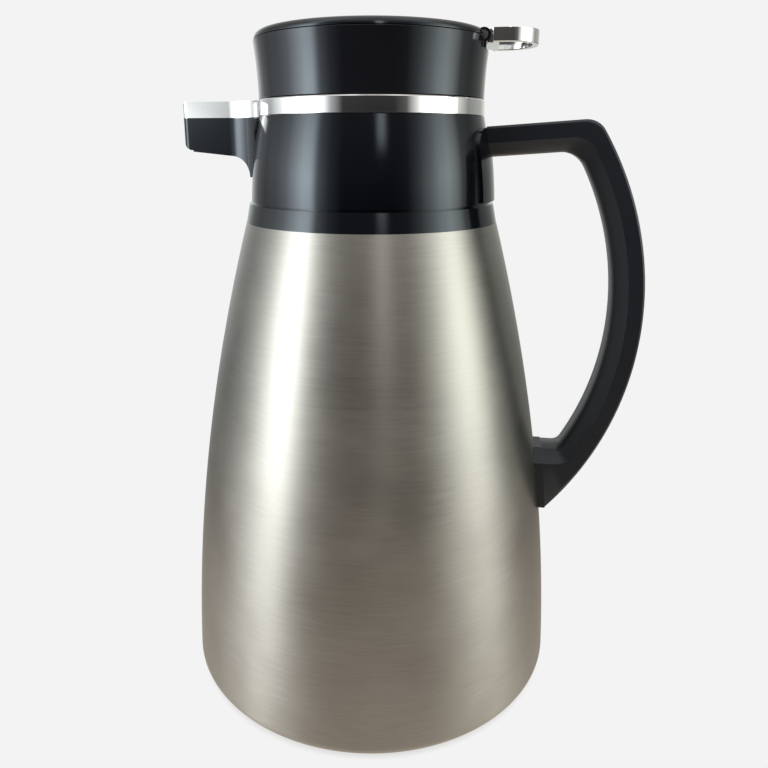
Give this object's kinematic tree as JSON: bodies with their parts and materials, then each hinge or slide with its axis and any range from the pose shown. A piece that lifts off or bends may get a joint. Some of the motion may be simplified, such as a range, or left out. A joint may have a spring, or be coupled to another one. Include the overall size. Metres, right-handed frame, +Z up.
{
  "type": "thermal carafe with flip lid",
  "caption": "Thermal carafe with a brushed steel body, black collar and spout, black loop handle, and a push-in stopper lid whose flip cover lifts the pour valve.",
  "frame": {"origin": "centre of the underside of the base pad, on the axis of the body", "axes": "+Z up along the axis of the body, +X towards the handle, spout towards -X"},
  "size_m": [0.183, 0.1546, 0.257],
  "materials": {
    "body_steel": "brushed round the body",
    "liner_steel": "satin",
    "small_steel": "bright",
    "pad_rubber": "matte",
    "silicone": "satin",
    "black_gloss": "gloss",
    "black_satin": "semi-matte",
    "dark_plastic": "satin",
    "chrome_trim": "polished"
  },
  "bodies": {
    "vessel": {"outer_shell": "body_steel", "inner_liner": "liner_steel", "base_plate": "liner_steel", "getter": "small_steel", "vacuum_seal": "small_steel", "base_pad": "pad_rubber", "neck_band": "small_steel", "neck_gasket": "silicone", "collar": "black_gloss", "spout_trim": "chrome_trim", "handle_outer": "black_satin", "handle_inner": "black_satin", "handle_foot": "black_satin", "lower_stud": "small_steel", "upper_tongue": "small_steel", "upper_screw": "small_steel", "lower_screw": "small_steel", "screw_cap": "black_satin"},
    "lid": {"lid_body": "black_gloss", "stopper_body": "dark_plastic", "stopper_gasket": "silicone", "lid_seal": "silicone", "stem_guide": "dark_plastic", "hinge_pin": "small_steel", "valve_spring": "small_steel"},
    "flip": {"flip_cover": "black_gloss", "thumb_ring": "chrome_trim", "lever_arm": "dark_plastic", "cover_screws": "small_steel"},
    "valve": {"valve_stem": "small_steel", "valve_disc": "dark_plastic", "valve_seal": "silicone", "link_pin": "small_steel"}
  },
  "joints": [
    {"name": "lid_lift", "type": "slide", "parent": "vessel", "child": "lid", "axis": [0, 0, 1], "range_m": [0, 0.06]},
    {"name": "lid_flip", "type": "hinge", "parent": "lid", "child": "flip", "pos_m": [0.042, 0, 0.2544], "axis": [0, 1, 0], "range_deg": [0, 14], "stiffness_Nm_per_rad": 0.444, "springref_deg": -13.6},
    {"name": "valve_lift", "type": "slide", "parent": "lid", "child": "valve", "axis": [0, 0, 1], "range_m": [0, 0.01029], "deforming": ["valve_spring"]}
  ],
  "couplings": [
    {"joint": "lid_flip", "follows": "valve_lift", "rad_per_m": 23.73}
  ]
}
